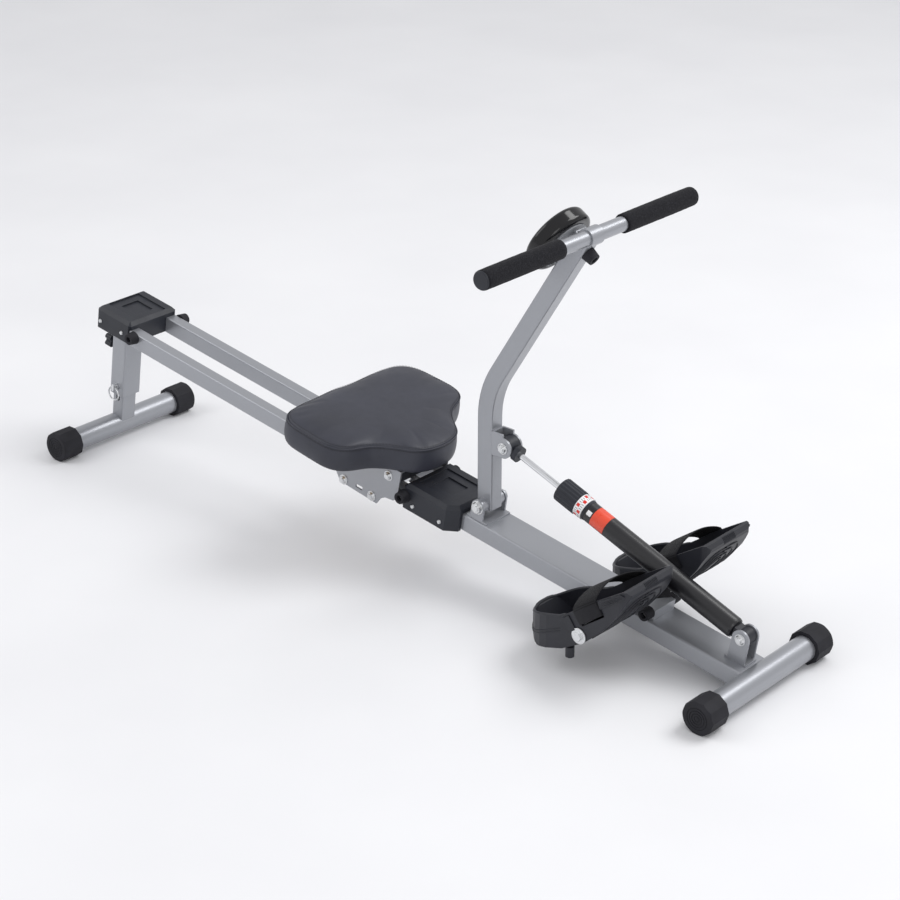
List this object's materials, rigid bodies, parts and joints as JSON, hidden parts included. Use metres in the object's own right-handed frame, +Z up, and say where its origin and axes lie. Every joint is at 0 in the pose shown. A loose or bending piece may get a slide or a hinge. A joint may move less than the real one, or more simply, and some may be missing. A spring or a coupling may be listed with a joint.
{
  "type": "rowing machine",
  "caption": "Rowing machine: sliding padded seat on two rails, swinging handle arm driving a hydraulic cylinder, hinged foot pedals with straps, floor tubes with rubber caps.",
  "frame": {"origin": "on the floor, midway between the two foot tubes and in the middle plane", "axes": "+X forwards from the seat to the cylinder, +Y to the rower's left, +Z up"},
  "size_m": [1.3716, 0.4628, 0.6251],
  "materials": {
    "frame_paint": "satin silver-grey paint",
    "zinc": "zinc-plated steel",
    "chrome_rod": "polished hard chrome",
    "black_plastic": "moulded, fine grain",
    "dark_plastic": "moulded, satin",
    "white_plastic": "moulded, satin",
    "grey_plastic": "moulded, matt",
    "gloss_black": "polished",
    "black_rubber": "matt",
    "grip_foam": "closed-cell foam",
    "seat_vinyl": "padded vinyl, fine grain",
    "plywood": "raw plywood",
    "webbing": "woven webbing",
    "black_paint": "satin black paint",
    "dark_steel": "bare steel",
    "red_label": "printed film",
    "display_lens": "dark display window"
  },
  "bodies": {
    "frame": {"front_foot_tube": "frame_paint", "front_foot_caps": "black_rubber", "rail_left": "frame_paint", "rail_right": "frame_paint", "main_beam": "frame_paint", "front_housing": "black_plastic", "rear_housing": "black_plastic", "rear_spacer_block": "black_plastic", "rubber_stops": "black_rubber", "frame_screws": "zinc", "post_sleeve": "frame_paint", "sleeve_bushing": "black_plastic", "handle_bracket": "frame_paint", "cylinder_bracket": "frame_paint", "pivot_bolts": "zinc", "axle_tube": "frame_paint", "pedal_axle": "zinc", "pedal_end_bolts": "zinc", "pedal_stop_lug": "frame_paint"},
    "rear_leg": {"rear_post": "frame_paint", "rear_foot_tube": "frame_paint", "rear_foot_caps": "black_rubber"},
    "lock_pin_body": {"lock_pin": "zinc"},
    "pull_ring": {"pin_ring": "zinc"},
    "clamp": {"clamp_knob": "black_plastic"},
    "seat": {"seat_pad": "seat_vinyl", "seat_board": "plywood", "carriage_left": "frame_paint", "carriage_right": "frame_paint", "carriage_crossbar": "black_plastic", "roller_axles": "zinc"},
    "rear_roller_pair": {"rear_rollers": "dark_plastic"},
    "front_roller_pair": {"front_rollers": "dark_plastic"},
    "rear_under_pair": {"rear_under_rollers": "dark_plastic"},
    "front_under_pair": {"front_under_rollers": "dark_plastic"},
    "arm": {"arm_tube": "frame_paint", "handlebar_tube": "frame_paint", "bar_saddle": "frame_paint", "foam_grips": "grip_foam", "bar_end_plugs": "black_plastic", "arm_bumper": "black_rubber", "rod_bracket": "frame_paint", "rod_pin": "zinc", "monitor_case": "gloss_black", "monitor_lens": "display_lens", "monitor_mount": "grey_plastic"},
    "button": {"monitor_button": "grey_plastic"},
    "cylinder": {"cylinder_tube": "black_paint", "cylinder_eye": "dark_plastic", "gland": "black_plastic", "scale_ring": "white_plastic", "label_band": "red_label"},
    "resistance": {"resistance_knob": "black_plastic"},
    "rod": {"piston_rod": "chrome_rod", "piston": "dark_steel", "rod_end_eye": "black_plastic"},
    "right_pedal": {"pedal_right": "dark_plastic", "strap_right": "webbing"},
    "left_pedal": {"pedal_left": "dark_plastic", "strap_left": "webbing"}
  },
  "joints": [
    {"name": "leg_slide", "type": "slide", "parent": "frame", "child": "rear_leg", "axis": [-0.1564, 0, -0.9877], "range_m": [-0.0254, 0.0254]},
    {"name": "pin_pull", "type": "slide", "parent": "frame", "child": "lock_pin_body", "axis": [0, -1, 0], "range_m": [0, 0.012], "stiffness_N_per_m": 300, "springref_m": -0.004},
    {"name": "ring_swing", "type": "hinge", "parent": "lock_pin_body", "child": "pull_ring", "pos_m": [-0.64567, -0.0255, 0.09956], "axis": [0.9877, 0, -0.1564], "range_deg": [-90, 5]},
    {"name": "clamp_turn", "type": "hinge", "parent": "frame", "child": "clamp", "pos_m": [-0.67095, 0, 0.17646], "axis": [0.9877, 0, -0.1564], "range_deg": [0, 720]},
    {"name": "seat_slide", "type": "slide", "parent": "frame", "child": "seat", "axis": [0.9877, 0, -0.1564], "range_m": [-0.44, 0]},
    {"name": "rear_roller_turn", "type": "hinge", "parent": "seat", "child": "rear_roller_pair", "pos_m": [-0.06338, 0, 0.16427], "axis": [0, 1, 0], "range_deg": [-1975, 5]},
    {"name": "front_roller_turn", "type": "hinge", "parent": "seat", "child": "front_roller_pair", "pos_m": [0.01712, 0, 0.15152], "axis": [0, 1, 0], "range_deg": [-1975, 5]},
    {"name": "rear_under_turn", "type": "hinge", "parent": "seat", "child": "rear_under_pair", "pos_m": [-0.07745, 0, 0.11567], "axis": [0, 1, 0], "range_deg": [-5, 2807]},
    {"name": "front_under_turn", "type": "hinge", "parent": "seat", "child": "front_under_pair", "pos_m": [-0.01888, 0, 0.10639], "axis": [0, 1, 0], "range_deg": [-5, 2807]},
    {"name": "arm_swing", "type": "hinge", "parent": "frame", "child": "arm", "pos_m": [0.16903, 0, 0.13647], "axis": [0, 1, 0], "range_deg": [-45, 8]},
    {"name": "button_press", "type": "slide", "parent": "arm", "child": "button", "axis": [0.8508, 0, -0.5255], "range_m": [0, 0.0015], "stiffness_N_per_m": 400, "springref_m": -0.0005},
    {"name": "cylinder_swing", "type": "hinge", "parent": "frame", "child": "cylinder", "pos_m": [0.63295, 0, 0.07899], "axis": [0, 1, 0], "range_deg": [-3.2, 0.7]},
    {"name": "resistance_turn", "type": "hinge", "parent": "cylinder", "child": "resistance", "pos_m": [0.32359, 0, 0.19386], "axis": [-0.9375, 0, 0.3481], "range_deg": [0, 330]},
    {"name": "rod_swing", "type": "hinge", "parent": "arm", "child": "rod", "pos_m": [0.20453, 0, 0.23807], "axis": [0, 1, 0], "range_deg": [-8, 42.5]},
    {"name": "right_pedal_swing", "type": "hinge", "parent": "frame", "child": "right_pedal", "pos_m": [0.45734, 0, 0.07673], "axis": [0, 1, 0], "range_deg": [-22, 0]},
    {"name": "left_pedal_swing", "type": "hinge", "parent": "frame", "child": "left_pedal", "pos_m": [0.45734, 0, 0.07673], "axis": [0, 1, 0], "range_deg": [-22, 0]}
  ],
  "couplings": [
    {"joint": "cylinder_swing", "follows": "arm_swing", "ratio": 0.0673},
    {"joint": "rod_swing", "follows": "arm_swing", "ratio": -0.9327},
    {"joint": "rear_roller_turn", "follows": "seat_slide", "rad_per_m": 78.125},
    {"joint": "front_roller_turn", "follows": "seat_slide", "rad_per_m": 78.125},
    {"joint": "rear_under_turn", "follows": "seat_slide", "rad_per_m": -111.11},
    {"joint": "front_under_turn", "follows": "seat_slide", "rad_per_m": -111.11}
  ]
}
